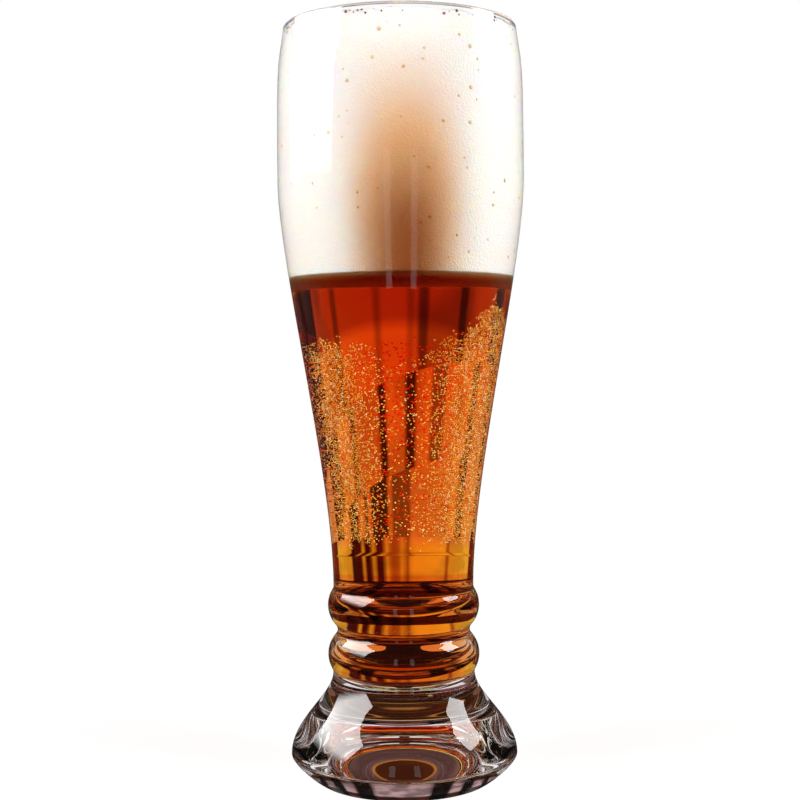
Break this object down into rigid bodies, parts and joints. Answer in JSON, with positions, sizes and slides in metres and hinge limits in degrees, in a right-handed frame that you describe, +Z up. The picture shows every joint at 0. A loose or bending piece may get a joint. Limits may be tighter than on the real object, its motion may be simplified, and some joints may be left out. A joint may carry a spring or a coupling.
{
  "type": "wheat beer glass",
  "caption": "Tall footed wheat-beer glass with a beaded stem, full of amber beer under a thick head of foam; it stands on the ring under its heavy foot.",
  "frame": {"origin": "on the surface the glass stands on, under the middle of its foot", "axes": "+Z up along the glass's axis of revolution, from the foot to the rim; +X and +Y level, with no preferred side"},
  "size_m": [0.0816, 0.0816, 0.25],
  "materials": {
    "clear_glass": "polished",
    "amber_beer": "gloss",
    "beer_foam": "matte"
  },
  "bodies": {
    "root": {"glass": "clear_glass", "beer": "amber_beer", "foam_head": "beer_foam"}
  },
  "joints": []
}
